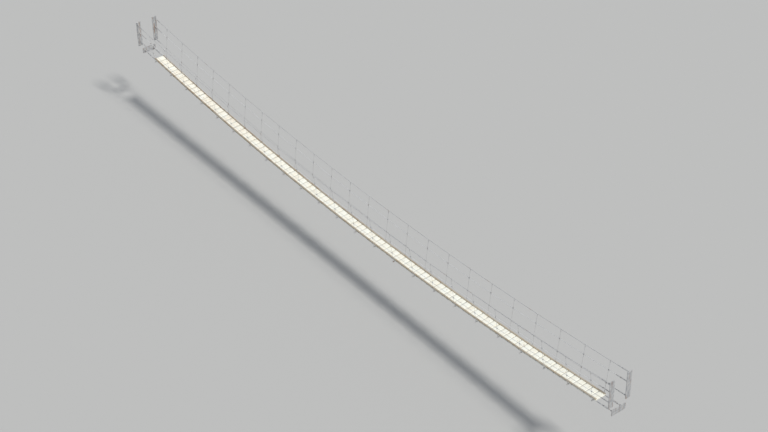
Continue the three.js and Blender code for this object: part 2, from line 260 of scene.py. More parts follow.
def make_piece(name, parts, material, replaced=(), sharp=35.0, values=(), turns=None):
    """One mesh of several groups of solids, which rides on the bridge and may stand for CAD nodes."""
    rows = [point_rows(part) for part in parts]
    offsets = np.cumsum([0] + [len(row) for row in rows])
    faces = [skin_faces(part.shape) for part in parts]
    quads = np.concatenate([quad + offset for (quad, triangle), offset in zip(faces, offsets)])
    triangles = np.concatenate([triangle + offset for (quad, triangle), offset in zip(faces, offsets)])
    loops = np.concatenate([quads.ravel(), triangles.ravel()])
    totals = np.concatenate([np.full(len(quads), 4), np.full(len(triangles), 3)])
    mesh = bpy.data.meshes.new(name)
    mesh.vertices.add(offsets[-1])
    mesh.vertices.foreach_set("co", np.concatenate(rows).astype(np.float32).ravel())
    mesh.loops.add(len(loops))
    mesh.loops.foreach_set("vertex_index", loops.astype(np.int32))
    mesh.polygons.add(len(totals))
    mesh.polygons.foreach_set("loop_start", (np.cumsum(totals) - totals).astype(np.int32))
    mesh.polygons.foreach_set("use_smooth", np.ones(len(totals), bool))
    mesh.update(calc_edges=True)
    mesh.set_sharp_from_angle(angle=math.radians(sharp))
    for key, grids in dict(values).items():
        add_values(mesh, key, np.concatenate([point_rows(grid) for grid in grids]))
    if turns is not None:
        add_turns(mesh, np.concatenate([point_rows(grid) for grid in turns]), quads, triangles)
    mesh.materials.append(material)
    piece = bpy.data.objects.new(name, mesh)
    bpy.context.scene.collection.objects.link(piece)
    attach(piece, "root")
    if replaced:
        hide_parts(*replaced)


def weld(y, z):
    """A rippled bead up one flank of a lug: a round bar whose radius swells and shrinks along Z."""
    run = np.linspace(-WELD_REACH, WELD_REACH, 25)
    swell = WELD_SIZE * (1.0 + WELD_RIPPLE_HEIGHT * np.sin(run * WELD_RIPPLE_TURN))
    swell[[0, -1]] = WELD_SIZE * WELD_END_SHARE
    bead = stack(round_outline(1.0, 8), z + run, swell)
    return bead + np.array([PLATE_THICKNESS, y, 0.0])


def lug(y, z):
    """A flat bar with a round nose, upright on the plate, welded along both its flanks."""
    angle = np.linspace(-math.pi / 2, math.pi / 2, 13)
    nose = LUG_RADIUS * np.stack([np.cos(angle), np.sin(angle)], -1) + [PIN_X, 0.0]
    root_x = PLATE_THICKNESS - LUG_LET_IN
    root = [[root_x, LUG_ROOT_HALF_HEIGHT], [root_x, -LUG_ROOT_HALF_HEIGHT]]
    outline = np.concatenate([nose, root])
    middle = outline.mean(axis=0)
    bar = slab(outline - middle, LUG_THICKNESS, LUG_BEVEL)
    parts = [moved(bar, (middle[0], y + LUG_THICKNESS / 2, z + middle[1]), ACROSS)]
    return parts + [weld(y + flank * LUG_THICKNESS / 2, z) for flank in (-1.0, 1.0)]


def anchor_bolt(y, z, turn):
    """A washer, a hexagon nut and the worn end of a stud, on one axis out of the plate."""
    top = WASHER_THICKNESS + NUT_HEIGHT
    washer = slab(round_outline(WASHER_RADIUS, 24), WASHER_THICKNESS, WASHER_BEVEL)
    nut = hexagon_nut(NUT_RADIUS, NUT_HEIGHT, turn) + np.array([0.0, 0.0, WASHER_THICKNESS])
    stud_heights = [top - STUD_IN_NUT, top + STUD_PROUD * 0.8, top + STUD_PROUD]
    stud = stack(round_outline(STUD_RADIUS, 16), stud_heights, [1.0, 1.0, 0.7])
    return [moved(part, (PLATE_THICKNESS, y, z), OUT_OF_PLATE) for part in (washer, nut, stud)]


def anchor_plate(node_name, middle_y, lugs, rows, random):
    """A rounded plate of its CAD node's size with lugs and two columns of bolts, its back at X 0."""
    low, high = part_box(node_name)
    width = high.y - low.y
    height = high.z - low.z
    body = slab(rounded_rectangle(width, height, PLATE_CORNER), PLATE_THICKNESS, PLATE_BEVEL)
    parts = [moved(body, (0.0, middle_y, (low.z + high.z) / 2), OUT_OF_PLATE)]
    for lug_y, lug_z in lugs:
        parts += lug(lug_y, lug_z)
    for bolt_z in np.linspace(low.z + BOLT_EDGE, high.z - BOLT_EDGE, rows):
        for column in (-1.0, 1.0):
            bolt_y = middle_y + column * (width / 2 - BOLT_EDGE)
            parts += anchor_bolt(bolt_y, bolt_z, random.uniform(0.0, 1.0))
    return parts


def at_end(parts, place, turned):
    """Solids of the left anchorage, left there or turned half round and carried to the right one."""
    return [rings * np.array([turned, turned, 1.0]) + np.array([place, 0.0, 0.0]) for rings in parts]


def node(tree, kind, inputs, **settings):
    """A shader node with its settings and inputs. An input is a value or another node's output."""
    made = tree.nodes.new(kind)
    for key, value in settings.items():
        setattr(made, key, value)
    for key, value in inputs.items():
        if isinstance(value, bpy.types.NodeSocket):
            tree.links.new(value, made.inputs[key])
        else:
            made.inputs[key].default_value = value
    return made


def mixed(tree, share, low, high):
    """The colour low where share is 0, high where it is 1."""
    made = node(tree, "ShaderNodeMix", {0: share, 6: low, 7: high}, data_type="RGBA")
    return made.outputs[2]


def spread(tree, value, low, high, to_low=0.0, to_high=1.0):
    """A value stretched so that low becomes to_low and high becomes to_high, and held between them."""
    ends = {"Value": value, "From Min": low, "From Max": high, "To Min": to_low, "To Max": to_high}
    return node(tree, "ShaderNodeMapRange", ends).outputs[0]


def cloud(tree, where, scale, detail=5.0, stretch=(1.0, 1.0, 1.0), distortion=0.0):
    """Noise from 0 to 1 on a place, drawn out along an axis where its stretch is small."""
    place = node(tree, "ShaderNodeMapping", {"Vector": where, "Scale": stretch}).outputs[0]
    inputs = {"Vector": place, "Scale": scale, "Detail": detail, "Distortion": distortion}
    return node(tree, "ShaderNodeTexNoise", inputs).outputs[0]


def relief(tree, shader, height, strength, depth):
    """A bump of this depth, in metres, on a shader."""
    bump = node(tree, "ShaderNodeBump", {"Height": height, "Strength": strength, "Distance": depth})
    tree.links.new(bump.outputs[0], shader.inputs["Normal"])


def galvanised(tree, shader, where, mottle_scale, streaks):
    """Zinc with crystals and dull patches, and rust where the streaks are strong."""
    crystals = node(tree, "ShaderNodeTexVoronoi", {"Vector": where, "Scale": mottle_scale}).outputs["Color"]
    dull = cloud(tree, where, mottle_scale / 9, 6.0)
    zinc = mixed(tree, crystals, (0.36, 0.37, 0.385, 1.0), (0.53, 0.54, 0.56, 1.0))
    patched = mixed(tree, spread(tree, dull, 0.40, 0.66), zinc, (0.60, 0.60, 0.59, 1.0))
    rusty = mixed(tree, spread(tree, streaks, 0.56, 0.70), patched, (0.27, 0.125, 0.055, 1.0))
    tree.links.new(rusty, shader.inputs["Base Color"])
    tree.links.new(spread(tree, dull, 0.3, 0.7, 0.36, 0.70), shader.inputs["Roughness"])
    shader.inputs["Metallic"].default_value = 0.55


anchor_material, tree, shader = new_material("galvanised_anchor_plate")
where = node(tree, "ShaderNodeTexCoord", {}).outputs["Object"]
galvanised(tree, shader, where, 90.0, cloud(tree, where, 1.0, 5.0, (30.0, 30.0, 2.2)))
relief(tree, shader, cloud(tree, where, 260.0, 3.0), 0.25, 0.001)

PIN_Z = float(cable_z(PIN_X))
random = np.random.default_rng(41)
for end, (place, turned) in ENDS.items():
    name = f"anchor_plate_{end}_deck"
    parts = anchor_plate(name, 0.0, [(-DECK_CABLE_Y, PIN_Z), (DECK_CABLE_Y, PIN_Z)], 2, random)
    make_piece(f"bolted_{name}", at_end(parts, place, turned), anchor_material, [name])
    for side, sign in SIDES.items():
        name = f"anchor_plate_{end}_{side}"
        low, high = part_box(name)
        lugs = [(sign * turned * y, PIN_Z + lift) for y, lift, size in ROPES.values() if lift > 0]
        parts = anchor_plate(name, turned * (low.y + high.y) / 2, lugs, 3, random)
        make_piece(f"bolted_{name}", at_end(parts, place, turned), anchor_material, [name])


# Rigging screws
# Forged and galvanised: a fork with its pin on the lug, an open barrel between two threaded spindles with
# lock nuts, and a sleeve that is pressed on the rope's end. One size fits each kind of rope.

FORK_CHEEK = 0.009
FORK_HALF_HEIGHT = 0.017
FORK_END = 0.056
CHEEK_END = 0.050
CHEEK_END_HALF_HEIGHT = 0.013
CHEEK_BEVEL = 0.0018
YOKE_START = 0.032
YOKE_END = 0.054
YOKE_HEIGHT = 0.0289
YOKE_CORNER = 0.006
YOKE_BEVEL = 0.002
COLLAR_PLACES = FORK_END + np.array([-0.004, 0.004, 0.016])
COLLAR_RADII = [0.0130, 0.0125, 0.0095]
BARREL_START = 0.105
BARREL_END = 0.350
BOSS_PLACES = BARREL_START + np.array([0.0, 0.003, 0.030, 0.036])
BOSS_RADII = np.array([0.0125, 0.0155, 0.0185, 0.0140])
ROD_START = 0.119
ROD_RADIUS = 0.0065
ROD_DISTANCE = 0.0150
ROD_BOW = 0.0035
SPINDLE_RADIUS = 0.0085
SPINDLE_IN_BARREL = 0.048
THREAD_PITCH = 0.004
THREAD_DEPTH = 0.11
LOCK_NUT_RADIUS = 0.0150
LOCK_NUT_HEIGHT = 0.012
SLEEVE_START = 0.395
SLEEVE_END = 0.520
SLEEVE_RADIUS = 0.0145
SLEEVE_TAPER = np.array([0.72, 0.94, 0.94, 0.84])
PRESS_STEP = 0.0315
PRESS_DEPTH = 0.05
PIN_RADIUS = 0.0078
PIN_HEAD_HEIGHTS = [0.006, 0.005, 0.001, 0.0]
PIN_HEAD_SHARES = [1.30, 1.45, 1.45, 1.0]
PIN_PROUD = 0.010
PIN_END_BEVEL = 0.0015
PIN_END_SHARE = 0.8
SPLIT_PIN_RADIUS = 0.0014
SPLIT_PIN_START = -0.012
SPLIT_PIN_END = 0.014
SPLIT_PIN_PLACE = 0.004
FORK_CLEARANCE = 0.0008
SPINDLE_IN_COLLAR = 0.004
SPINDLE_IN_SLEEVE = 0.004
CHORD_END_X = 0.85
ALONG_X = ((0, 1, 0), (0, 0, 1), (1, 0, 0))
END_TILT = math.atan2(float(cable_z(CHORD_END_X)) - PIN_Z, CHORD_END_X - PIN_X)
PULL = np.array([math.cos(END_TILT), 0.0, math.sin(END_TILT)])
SQUARE = np.array([-math.sin(END_TILT), 0.0, math.cos(END_TILT)])


def turned_bar(places, radii, sides=16):
    """A turned shape on the X axis: a radius at each place along it."""
    return moved(stack(round_outline(1.0, sides), places, radii), (0, 0, 0), ALONG_X)


def threaded_bar(start, end):
    """A turned bar whose radius goes up and down once in each pitch."""
    places = np.arange(start, end, THREAD_PITCH / 2)
    groove = np.arange(len(places)) % 2
    return turned_bar(places, SPINDLE_RADIUS * (1.0 - THREAD_DEPTH * groove), 10)


def bar_along(path, side, radius, points):
    """A round bar along paths square to one direction: rings of that direction and the path's normal."""
    tangent = np.gradient(path, axis=1)
    tangent /= np.linalg.norm(tangent, axis=-1, keepdims=True)
    side = np.broadcast_to(side, tangent.shape)
    normal = np.cross(tangent, side)
    ring = round_outline(radius, points)
    return path[:, :, None] + ring[:, :1] * side[:, :, None] + ring[:, 1:] * normal[:, :, None]


def fork(slot_half):
    """Two cheeks with round noses, the yoke that joins them, and a collar for the spindle."""
    angle = np.linspace(math.pi / 2, 3 * math.pi / 2, 11)
    nose = FORK_HALF_HEIGHT * np.stack([np.cos(angle), np.sin(angle)], -1)
    back = [[CHEEK_END, -CHEEK_END_HALF_HEIGHT], [CHEEK_END, CHEEK_END_HALF_HEIGHT]]
    outline = np.concatenate([nose, back])
    middle = outline.mean(axis=0)
    cheek = slab(outline - middle, FORK_CHEEK, CHEEK_BEVEL)
    parts = []
    for outer in (slot_half + FORK_CHEEK, -slot_half):
        parts.append(moved(cheek, (middle[0], outer, middle[1]), ACROSS))
    yoke_outline = rounded_rectangle(2 * (slot_half + FORK_CHEEK), YOKE_HEIGHT, YOKE_CORNER)
    yoke = slab(yoke_outline, YOKE_END - YOKE_START, YOKE_BEVEL)
    parts.append(moved(yoke, (YOKE_START, 0, 0), ALONG_X))
    parts.append(turned_bar(COLLAR_PLACES, COLLAR_RADII))
    return parts


def open_barrel():
    """Two turned bosses joined by two bowed rods, with a lock nut at each end."""
    parts = [turned_bar(BOSS_PLACES, BOSS_RADII)]
    parts.append(turned_bar((BARREL_START + BARREL_END - BOSS_PLACES)[::-1], BOSS_RADII[::-1]))
    share = np.linspace(-1.0, 1.0, 13)
    run = np.linspace(ROD_START, BARREL_START + BARREL_END - ROD_START, 13)
    for flank in (-1.0, 1.0):
        bow = flank * (ROD_DISTANCE + ROD_BOW * (1.0 - share**2))
        path = np.stack([run, np.zeros(13), bow], -1)[None]
        parts.append(bar_along(path, np.array([0.0, 1.0, 0.0]), ROD_RADIUS, 10))
    for nut_x in (BARREL_START - LOCK_NUT_HEIGHT, BARREL_END):
        parts.append(moved(hexagon_nut(LOCK_NUT_RADIUS, LOCK_NUT_HEIGHT), (nut_x, 0, 0), ALONG_X))
    return parts


def pressed_sleeve():
    """A turned sleeve with narrow flats where the press closed on it, and tapered ends."""
    places = np.linspace(SLEEVE_START, SLEEVE_END, 40)
    pressed = np.cos((places - SLEEVE_START) * 2 * math.pi / PRESS_STEP) > 0.5
    radii = SLEEVE_RADIUS * (1.0 - PRESS_DEPTH * pressed)
    radii[[0, 1, -2, -1]] = SLEEVE_RADIUS * SLEEVE_TAPER
    return turned_bar(places, radii, 20)


def pin(reach):
    """A pin through fork and lug, with a flat head on one side and a split pin through its other end."""
    head_heights = [-reach - height for height in PIN_HEAD_HEIGHTS]
    heights = head_heights + [reach + PIN_PROUD - PIN_END_BEVEL, reach + PIN_PROUD]
    body = stack(round_outline(PIN_RADIUS, 16), heights, PIN_HEAD_SHARES + [1.0, PIN_END_SHARE])
    legs = np.linspace(SPLIT_PIN_START, SPLIT_PIN_END, 8)
    spread_leg = np.where(legs > PIN_RADIUS, legs - PIN_RADIUS, 0.0)
    path = np.stack([spread_leg, np.full(8, reach + SPLIT_PIN_PLACE), legs], -1)[None]
    split = bar_along(path, np.array([0.0, 1.0, 0.0]), SPLIT_PIN_RADIUS, 6)
    return [moved(body, (0, 0, 0), ((1, 0, 0), (0, 0, -1), (0, 1, 0))), split]


def rigging_screw(size):
    """All solids of one rigging screw, with its pin at the origin and the rope towards X."""
    slot_half = (LUG_THICKNESS / 2 + FORK_CLEARANCE) / size
    parts = fork(slot_half) + open_barrel() + [pressed_sleeve()]
    parts.append(threaded_bar(COLLAR_PLACES[-1] - SPINDLE_IN_COLLAR, BARREL_START + SPINDLE_IN_BARREL))
    parts.append(threaded_bar(BARREL_END - SPINDLE_IN_BARREL, SLEEVE_START + SPINDLE_IN_SLEEVE))
    return [rings * size for rings in parts] + pin((slot_half + FORK_CHEEK) * size)


fitting_material, tree, shader = new_material("galvanised_fittings")
where = node(tree, "ShaderNodeTexCoord", {}).outputs["Object"]
galvanised(tree, shader, where, 160.0, cloud(tree, where, 26.0, 5.0))
relief(tree, shader, cloud(tree, where, 420.0, 2.0), 0.2, 0.0008)

for end, (place, turned) in ENDS.items():
    for side, sign in SIDES.items():
        for rope, (y, lift, size) in ROPES.items():
            origin = (PIN_X, sign * turned * y, PIN_Z + lift)
            parts = [moved(rings, origin, (PULL, (0, 1, 0), SQUARE)) for rings in rigging_screw(size)]
            name = f"rigging_screw_{end}_{side}_{rope}"
            make_piece(name, at_end(parts, place, turned), fitting_material,
                       [f"tensioner_{end}_{side}_{rope}"])


# Deck cables and handrails
# Galvanised six-strand wire ropes, pulled taut from sleeve to sleeve: two of 24 mm carry the deck, and two
# of 16 mm are the handrails. The strands wind round the rope once in a lay.

ROPE_IN_SLEEVE = 0.006
MAIN_STRAND = np.array([0.66, 0.93, 1.0, 0.93])
FINE_STRAND = np.array([0.74, 1.0])
WIRES_AROUND = 36
DECK_CABLE_RADIUS = 0.0120
DECK_CABLE_LAY = 0.165
HANDRAIL_RADIUS = 0.0080
HANDRAIL_LAY = 0.112
MAIN_STEPS_PER_LAY = 9
STRAND_CREASE = 75.0


def stranded(centre, u_side, v_side, turns, radius, strand):
    """Six strands in a helix about lines of points: an outline of six lobes that turns along each line."""
    points = 6 * len(strand)
    around = np.arange(points) / points
    angle = 2.0 * math.pi * (around + turns[..., None])
    away = radius * np.tile(strand, 6)
    rings = centre[:, :, None] + (away * np.cos(angle))[..., None] * u_side[..., None, :]
    rings = rings + (away * np.sin(angle))[..., None] * v_side[..., None, :]
    map_rows = np.stack(np.broadcast_arrays(around, turns[..., None]), -1)
    return rings, map_rows


def line_frame(x):
    """Unit vectors along the hanging line and square to it, at each x."""
    slope = np.arctan(-4.0 * SAG / SPAN * (1.0 - 2.0 * x / SPAN))
    zero = np.zeros_like(slope)
    along = np.stack([np.cos(slope), zero, np.sin(slope)], -1)
    up = np.stack([-np.sin(slope), zero, np.cos(slope)], -1)
    return along, up


def long_rope(rope, sign, radius, lay, strand, steps_per_lay):
    """A stranded rope along the hanging line, from inside one sleeve to inside the other."""
    y, lift, size = ROPES[rope]
    start = PIN_X + (SLEEVE_END * size - ROPE_IN_SLEEVE) * math.cos(END_TILT)
    x = np.linspace(start, SPAN - start, int((SPAN - 2 * start) / lay * steps_per_lay))
    up = line_frame(x)[1]
    centre = np.stack([x, np.full_like(x, sign * y), cable_z(x) + lift], -1)
    across = np.array([0.0, 1.0, 0.0])
    return stranded(centre[None], across, up[None], (x[None] - start) / lay, radius, strand)


def calculated(tree, operation, *values):
    """The result of one Math node on up to three values."""
    return node(tree, "ShaderNodeMath", dict(enumerate(values)), operation=operation).outputs[0]


def wire_rope_material(name, wire_shade, wire_highlight, grime_and_shade, rust):
    """Painted shade and highlight across the wires round each strand, grime and painted shade between the
    strands, and stains, in a pattern on the rope's turns.
    """
    material, tree, shader = new_material(name)
    turns = node(tree, "ShaderNodeUVMap", {}, uv_map="turns").outputs[0]
    where = node(tree, "ShaderNodeTexCoord", {}).outputs["Object"]
    axes = node(tree, "ShaderNodeSeparateXYZ", {"Vector": turns})
    world_turn = calculated(tree, "ADD", axes.outputs[0], axes.outputs[1])
    wire_angle = calculated(tree, "MULTIPLY", world_turn, 2.0 * math.pi * WIRES_AROUND)
    wire = spread(tree, calculated(tree, "SINE", wire_angle), -1.0, 1.0)
    # Grime and painted shade: the valleys between the strands are darkened.
    valley_angle = calculated(tree, "MULTIPLY", axes.outputs[0], 2.0 * math.pi * 6)
    valley_shade = spread(tree, calculated(tree, "COSINE", valley_angle), 0.1, 1.0)
    # Painted shade and painted highlight: each wire runs from its shaded colour to its highlight colour.
    steel = mixed(tree, wire, wire_shade, wire_highlight)
    grimed_and_shaded = mixed(tree, calculated(tree, "MULTIPLY", valley_shade, 0.8), steel, grime_and_shade)
    weather = cloud(tree, where, 3.0, 8.0)
    stained = mixed(tree, spread(tree, weather, rust, rust + 0.20), grimed_and_shaded, (0.36, 0.25, 0.18, 1.0))
    tree.links.new(stained, shader.inputs["Base Color"])
    tree.links.new(spread(tree, weather, 0.3, 0.7, 0.34, 0.58), shader.inputs["Roughness"])
    shader.inputs["Metallic"].default_value = 0.3
    relief(tree, shader, wire, 0.5, 0.0006)
    return material


# The colours given here: painted wire shade, painted wire highlight, and grime with painted shade between
# the strands.
rope_material = wire_rope_material("galvanised_wire_rope", (0.52, 0.52, 0.53, 1.0), (0.80, 0.80, 0.81, 1.0),
                                   (0.15, 0.145, 0.14, 1.0), 0.60)
new_rope_material = wire_rope_material("newer_wire_rope", (0.74, 0.74, 0.75, 1.0), (0.95, 0.95, 0.95, 1.0),
                                       (0.38, 0.375, 0.37, 1.0), 0.72)

MAIN_ROPES = {
    "deck": ("deck_cable", DECK_CABLE_RADIUS, DECK_CABLE_LAY),
    "handrail": ("handrail_cable", HANDRAIL_RADIUS, HANDRAIL_LAY),
}
for side, sign in SIDES.items():
    for rope, (name, radius, lay) in MAIN_ROPES.items():
        rings, map_rows = long_rope(rope, sign, radius, lay, MAIN_STRAND, MAIN_STEPS_PER_LAY)
        make_piece(f"stranded_{name}_{side}", [rings], rope_material, [f"{name}_{side}"],
                   STRAND_CREASE, turns=[map_rows])


# Deck boards
# Sawn softwood boards, 420 mm long, 222 mm wide and 40 mm thick, laid across the deck cables with gaps of
# 44 mm. Sun and rain have bleached them to a pale cream, warmer near the left end.

DECK_LENGTH = 24.7
BOARD_COUNT = 93
BOARD_WIDTH = 0.222
BOARD_THICKNESS = 0.040
BOARD_CORNER = 0.005
DECK_WIDTH = 0.420
BOARDS_PER_SECTION = 8
SECTION_COUNT = math.ceil(BOARD_COUNT / BOARDS_PER_SECTION)
BOARD_PITCH = (DECK_LENGTH - BOARD_WIDTH) / (BOARD_COUNT - 1)
FIRST_BOARD_X = (SPAN - DECK_LENGTH + BOARD_WIDTH) / 2
WARM_MIDDLE_X = 4.6
WARM_HALF_LENGTH = 3.4
WARM_TONE = 0.55
TONE_SPREAD = 0.45
BOARD_SHIFT = 0.003
WIDTH_SHARES = (0.97, 1.01)
SKEW = 0.012
CUP_RANGE = (-0.0026, 0.0012)
BOW = 0.0022
TRIM_SHARES = (0.972, 1.0)
END_EASE = 0.95
WEAR_DEPTH = 0.004
WEAR_TURN = 47.0
WEAR_SHIFT = 1.7
PITH_RANGES = ((-0.12, 0.12), (0.0, 40.0), (-0.16, -0.03))
END_SHARES = np.array([1.0, 0.990, 0.95, 0.70, 0.46, 0.23, 0.0])
LENGTH_SHARES = np.concatenate([END_SHARES, -END_SHARES[-2::-1]])


def board_outline():
    """A rounded board section, counter-clockwise, with four more points on its top and on its underside."""
    corners = rounded_rectangle(BOARD_WIDTH, BOARD_THICKNESS, BOARD_CORNER)
    face = np.linspace(0.6, -0.6, 4)[:, None] * [BOARD_WIDTH / 2, 0.0]
    top = face + [0.0, BOARD_THICKNESS / 2]
    bottom = face[::-1] - [0.0, BOARD_THICKNESS / 2]
    return np.concatenate([corners[:4], top, corners[4:12], bottom, corners[12:]])


def boards(numbers, random):
    """Boards swept from far end to near end, each a little skewed, cupped, bowed and uneven in size."""
    count = len(numbers)
    x = FIRST_BOARD_X + numbers * BOARD_PITCH
    along, up = line_frame(x)
    centre = np.stack([x, np.zeros(count), cable_z(x)], -1)
    centre = centre + up * (DECK_CABLE_RADIUS + BOARD_THICKNESS / 2)
    centre = centre + along * random.uniform(-BOARD_SHIFT, BOARD_SHIFT, (count, 1))
    outline = board_outline()
    width = random.uniform(*WIDTH_SHARES, (count, 1, 1))
    skew = random.uniform(-SKEW, SKEW, (count, 1, 1))
    cup = random.uniform(*CUP_RANGE, (count, 1, 1))
    bow = random.uniform(0.0, BOW, (count, 1, 1))
    trim = random.uniform(*TRIM_SHARES, (count, 2))
    half = DECK_WIDTH / 2
    reach = (LENGTH_SHARES * half * np.where(LENGTH_SHARES > 0, trim[:, :1], trim[:, 1:]))[..., None]
    ease = np.where(np.abs(LENGTH_SHARES) == 1.0, END_EASE, 1.0)[:, None]
    edge_wear = 1.0 - WEAR_DEPTH * np.sin(reach * WEAR_TURN + numbers[:, None, None] * WEAR_SHIFT)
    a = outline[:, 0] * width * ease * edge_wear + skew * reach
    cupped = cup * ((outline[:, 0] / (BOARD_WIDTH / 2)) ** 2 - 0.4) * (outline[:, 1] > 0)
    b = outline[:, 1] * ease + cupped + bow * (reach / half) ** 2
    rings = centre[:, None, None] + a[..., None] * along[:, None, None] + b[..., None] * up[:, None, None]
    rings[..., 1] += reach
    pith = np.stack([random.uniform(*limits, count) for limits in PITH_RANGES], -1)
    grain = np.stack(np.broadcast_arrays(a, reach, b), -1) - pith[:, None, None]
    return rings, grain


def timber_material(name, pale, tan, latewood, grey, knot, crack):
    """Weathered sawn timber: growth rings about a pith line beside each board, seen on every face."""
    material, tree, shader = new_material(name)
    grain = node(tree, "ShaderNodeAttribute", {}, attribute_name="grain").outputs["Vector"]
    tone = node(tree, "ShaderNodeAttribute", {}, attribute_name="tone").outputs["Fac"]
    wander = cloud(tree, grain, 3.0, 2.0, (1.0, 0.5, 1.0))
    stretch = {0: grain, 1: (1.0, 0.05, 1.0)}
    drawn_out = node(tree, "ShaderNodeVectorMath", stretch, operation="MULTIPLY").outputs[0]
    rings = {"Vector": drawn_out, "Scale": 46.0, "Distortion": 5.0, "Detail": 3.0, "Detail Scale": 0.35}
    wave = node(tree, "ShaderNodeTexWave", rings, wave_type="RINGS", rings_direction="Y",
                wave_profile="SAW").outputs[1]
    fibre = cloud(tree, grain, 300.0, 4.0, (1.0, 0.03, 1.0))
    streak = cloud(tree, grain, 42.0, 4.0, (1.0, 0.06, 1.0))
    split = cloud(tree, grain, 75.0, 2.0, (1.0, 0.018, 1.0), 0.4)
    patch = cloud(tree, grain, 9.0, 5.0, (1.0, 0.4, 1.0))
    spots = node(tree, "ShaderNodeMapping", {"Vector": grain, "Scale": (9.0, 4.2, 9.0)}).outputs[0]
    spot = node(tree, "ShaderNodeTexVoronoi", {"Vector": spots, "Scale": 1.0}).outputs["Distance"]
    base = mixed(tree, tone, pale, tan)
    ring_share = calculated(tree, "MULTIPLY", wave, spread(tree, wander, 0.3, 0.7, 0.15, 0.6))
    ringed = mixed(tree, ring_share, base, latewood)
    streaked = mixed(tree, spread(tree, streak, 0.45, 0.75, 0.0, 0.55), ringed, latewood)
    greyed = mixed(tree, spread(tree, patch, 0.42, 0.66, 0.0, 0.75), streaked, grey)
    fibred = mixed(tree, spread(tree, fibre, 0.52, 0.78, 0.0, 0.5), greyed, latewood)
    knotted = mixed(tree, spread(tree, spot, 0.13, 0.07), fibred, knot)
    cracked = mixed(tree, spread(tree, split, 0.69, 0.72), knotted, crack)
    tree.links.new(cracked, shader.inputs["Base Color"])
    tree.links.new(spread(tree, patch, 0.3, 0.7, 0.72, 0.92), shader.inputs["Roughness"])
    height = calculated(tree, "MULTIPLY_ADD", wave, -0.35, fibre)
    height = calculated(tree, "MULTIPLY_ADD", spread(tree, split, 0.67, 0.72), -2.0, height)
    relief(tree, shader, height, 0.6, 0.0012)
    return material


board_material = timber_material(
    "sun_bleached_boards",
    pale=(0.915, 0.93, 0.855, 1.0),
    tan=(0.86, 0.785, 0.675, 1.0),
    latewood=(0.70, 0.63, 0.47, 1.0),
    grey=(0.84, 0.865, 0.815, 1.0),
    knot=(0.34, 0.21, 0.12, 1.0),
    crack=(0.20, 0.15, 0.10, 1.0),
)
random = np.random.default_rng(7)
for section in range(SECTION_COUNT):
    first = section * BOARDS_PER_SECTION
    numbers = np.arange(first, min(first + BOARDS_PER_SECTION, BOARD_COUNT))
    rings, grain = boards(numbers, random)
    x = FIRST_BOARD_X + numbers * BOARD_PITCH
    warm = np.exp(-(((x - WARM_MIDDLE_X) / WARM_HALF_LENGTH) ** 2))
    tone = random.uniform(0.0, TONE_SPREAD, len(numbers)) + WARM_TONE * warm
    tone_rows = np.broadcast_to(tone[:, None, None, None], rings.shape[:3] + (1,))
    name = f"deck_section_{section + 1:02d}"
    make_piece(f"boards_of_{name}", [rings], board_material, [name],
               values={"grain": [grain], "tone": [tone_rows]})


# Edge runners and their bolts
# Planed battens of 50 by 26 mm over the ends of the boards, one to each deck section, butted end to end and
# brown with age, darkest at the left. Round-headed bolts hold three of each four boards to them.

RUNNER_WIDTH = 0.050
RUNNER_THICKNESS = 0.026
RUNNER_LET_IN = 0.001
RUNNER_JOINT = 0.003
RUNNER_CORNER = 0.004
RUNNER_STEP = 0.08
RUNNER_END_EASE = 0.002
RUNNER_END_SHARE = 0.92
RUNNER_WAVE = 0.0012
RUNNER_WAVE_TURN = 3.1
RUNNER_PITH_RANGES = ((-0.08, 0.08), (0.0, 40.0), (-0.1, -0.02))
LEFT_END_AGE = 0.7
AGE_SPREAD = 0.3
BOLT_HEAD_RADIUS = 0.0095
BOLT_HEAD_HEIGHTS = [0.0, 0.0016, 0.0044, 0.0062]
BOLT_HEAD_SHARES = [1.5, 1.05, 0.85, 0.35]
BOLT_HEAD_LET_IN = 0.0003
BOARDS_PER_BAY = 4
RUNNER_TOP = DECK_CABLE_RADIUS + BOARD_THICKNESS - RUNNER_LET_IN + RUNNER_THICKNESS


def runner(section, sign, random):
    """A rounded batten swept along the hanging line over the boards of one section, with eased ends."""
    first = section * BOARDS_PER_SECTION
    last = min(first + BOARDS_PER_SECTION, BOARD_COUNT) - 1
    to_joint = (BOARD_PITCH - RUNNER_JOINT) / 2
    start = FIRST_BOARD_X + first * BOARD_PITCH - (BOARD_WIDTH / 2 if first == 0 else to_joint)
    end = FIRST_BOARD_X + last * BOARD_PITCH + (BOARD_WIDTH / 2 if last == BOARD_COUNT - 1 else to_joint)
    count = int((end - start) / RUNNER_STEP)
    x = np.linspace(start + RUNNER_END_EASE, end - RUNNER_END_EASE, count)
    x = np.concatenate([[start], x, [end]])
    up = line_frame(x)[1]
    centre = np.stack([x, np.full_like(x, sign * DECK_CABLE_Y), cable_z(x)], -1)
    centre = centre + up * (RUNNER_TOP - RUNNER_THICKNESS / 2)
    centre[:, 1] += RUNNER_WAVE * np.sin(x * RUNNER_WAVE_TURN + random.uniform(0.0, 6.0))
    ease = np.ones((len(x), 1, 1))
    ease[[0, -1]] = RUNNER_END_SHARE
    outline = rounded_rectangle(RUNNER_WIDTH, RUNNER_THICKNESS, RUNNER_CORNER) * ease
    rings = centre[:, None] + outline[..., :1] * np.array([0.0, 1.0, 0.0]) + outline[..., 1:] * up[:, None]
    pith = np.array([random.uniform(*limits) for limits in RUNNER_PITH_RANGES])
    x_rows = np.broadcast_to(x[:, None], outline.shape[:2])
    grain = np.stack([outline[..., 0], x_rows, outline[..., 1]], -1) - pith
    age = AGE_SPREAD * random.uniform(0.0, 1.0) + LEFT_END_AGE * (1.0 - section / (SECTION_COUNT - 1))
    tone = np.full(outline.shape[:2] + (1,), age)
    return rings[None], grain[None], tone[None]


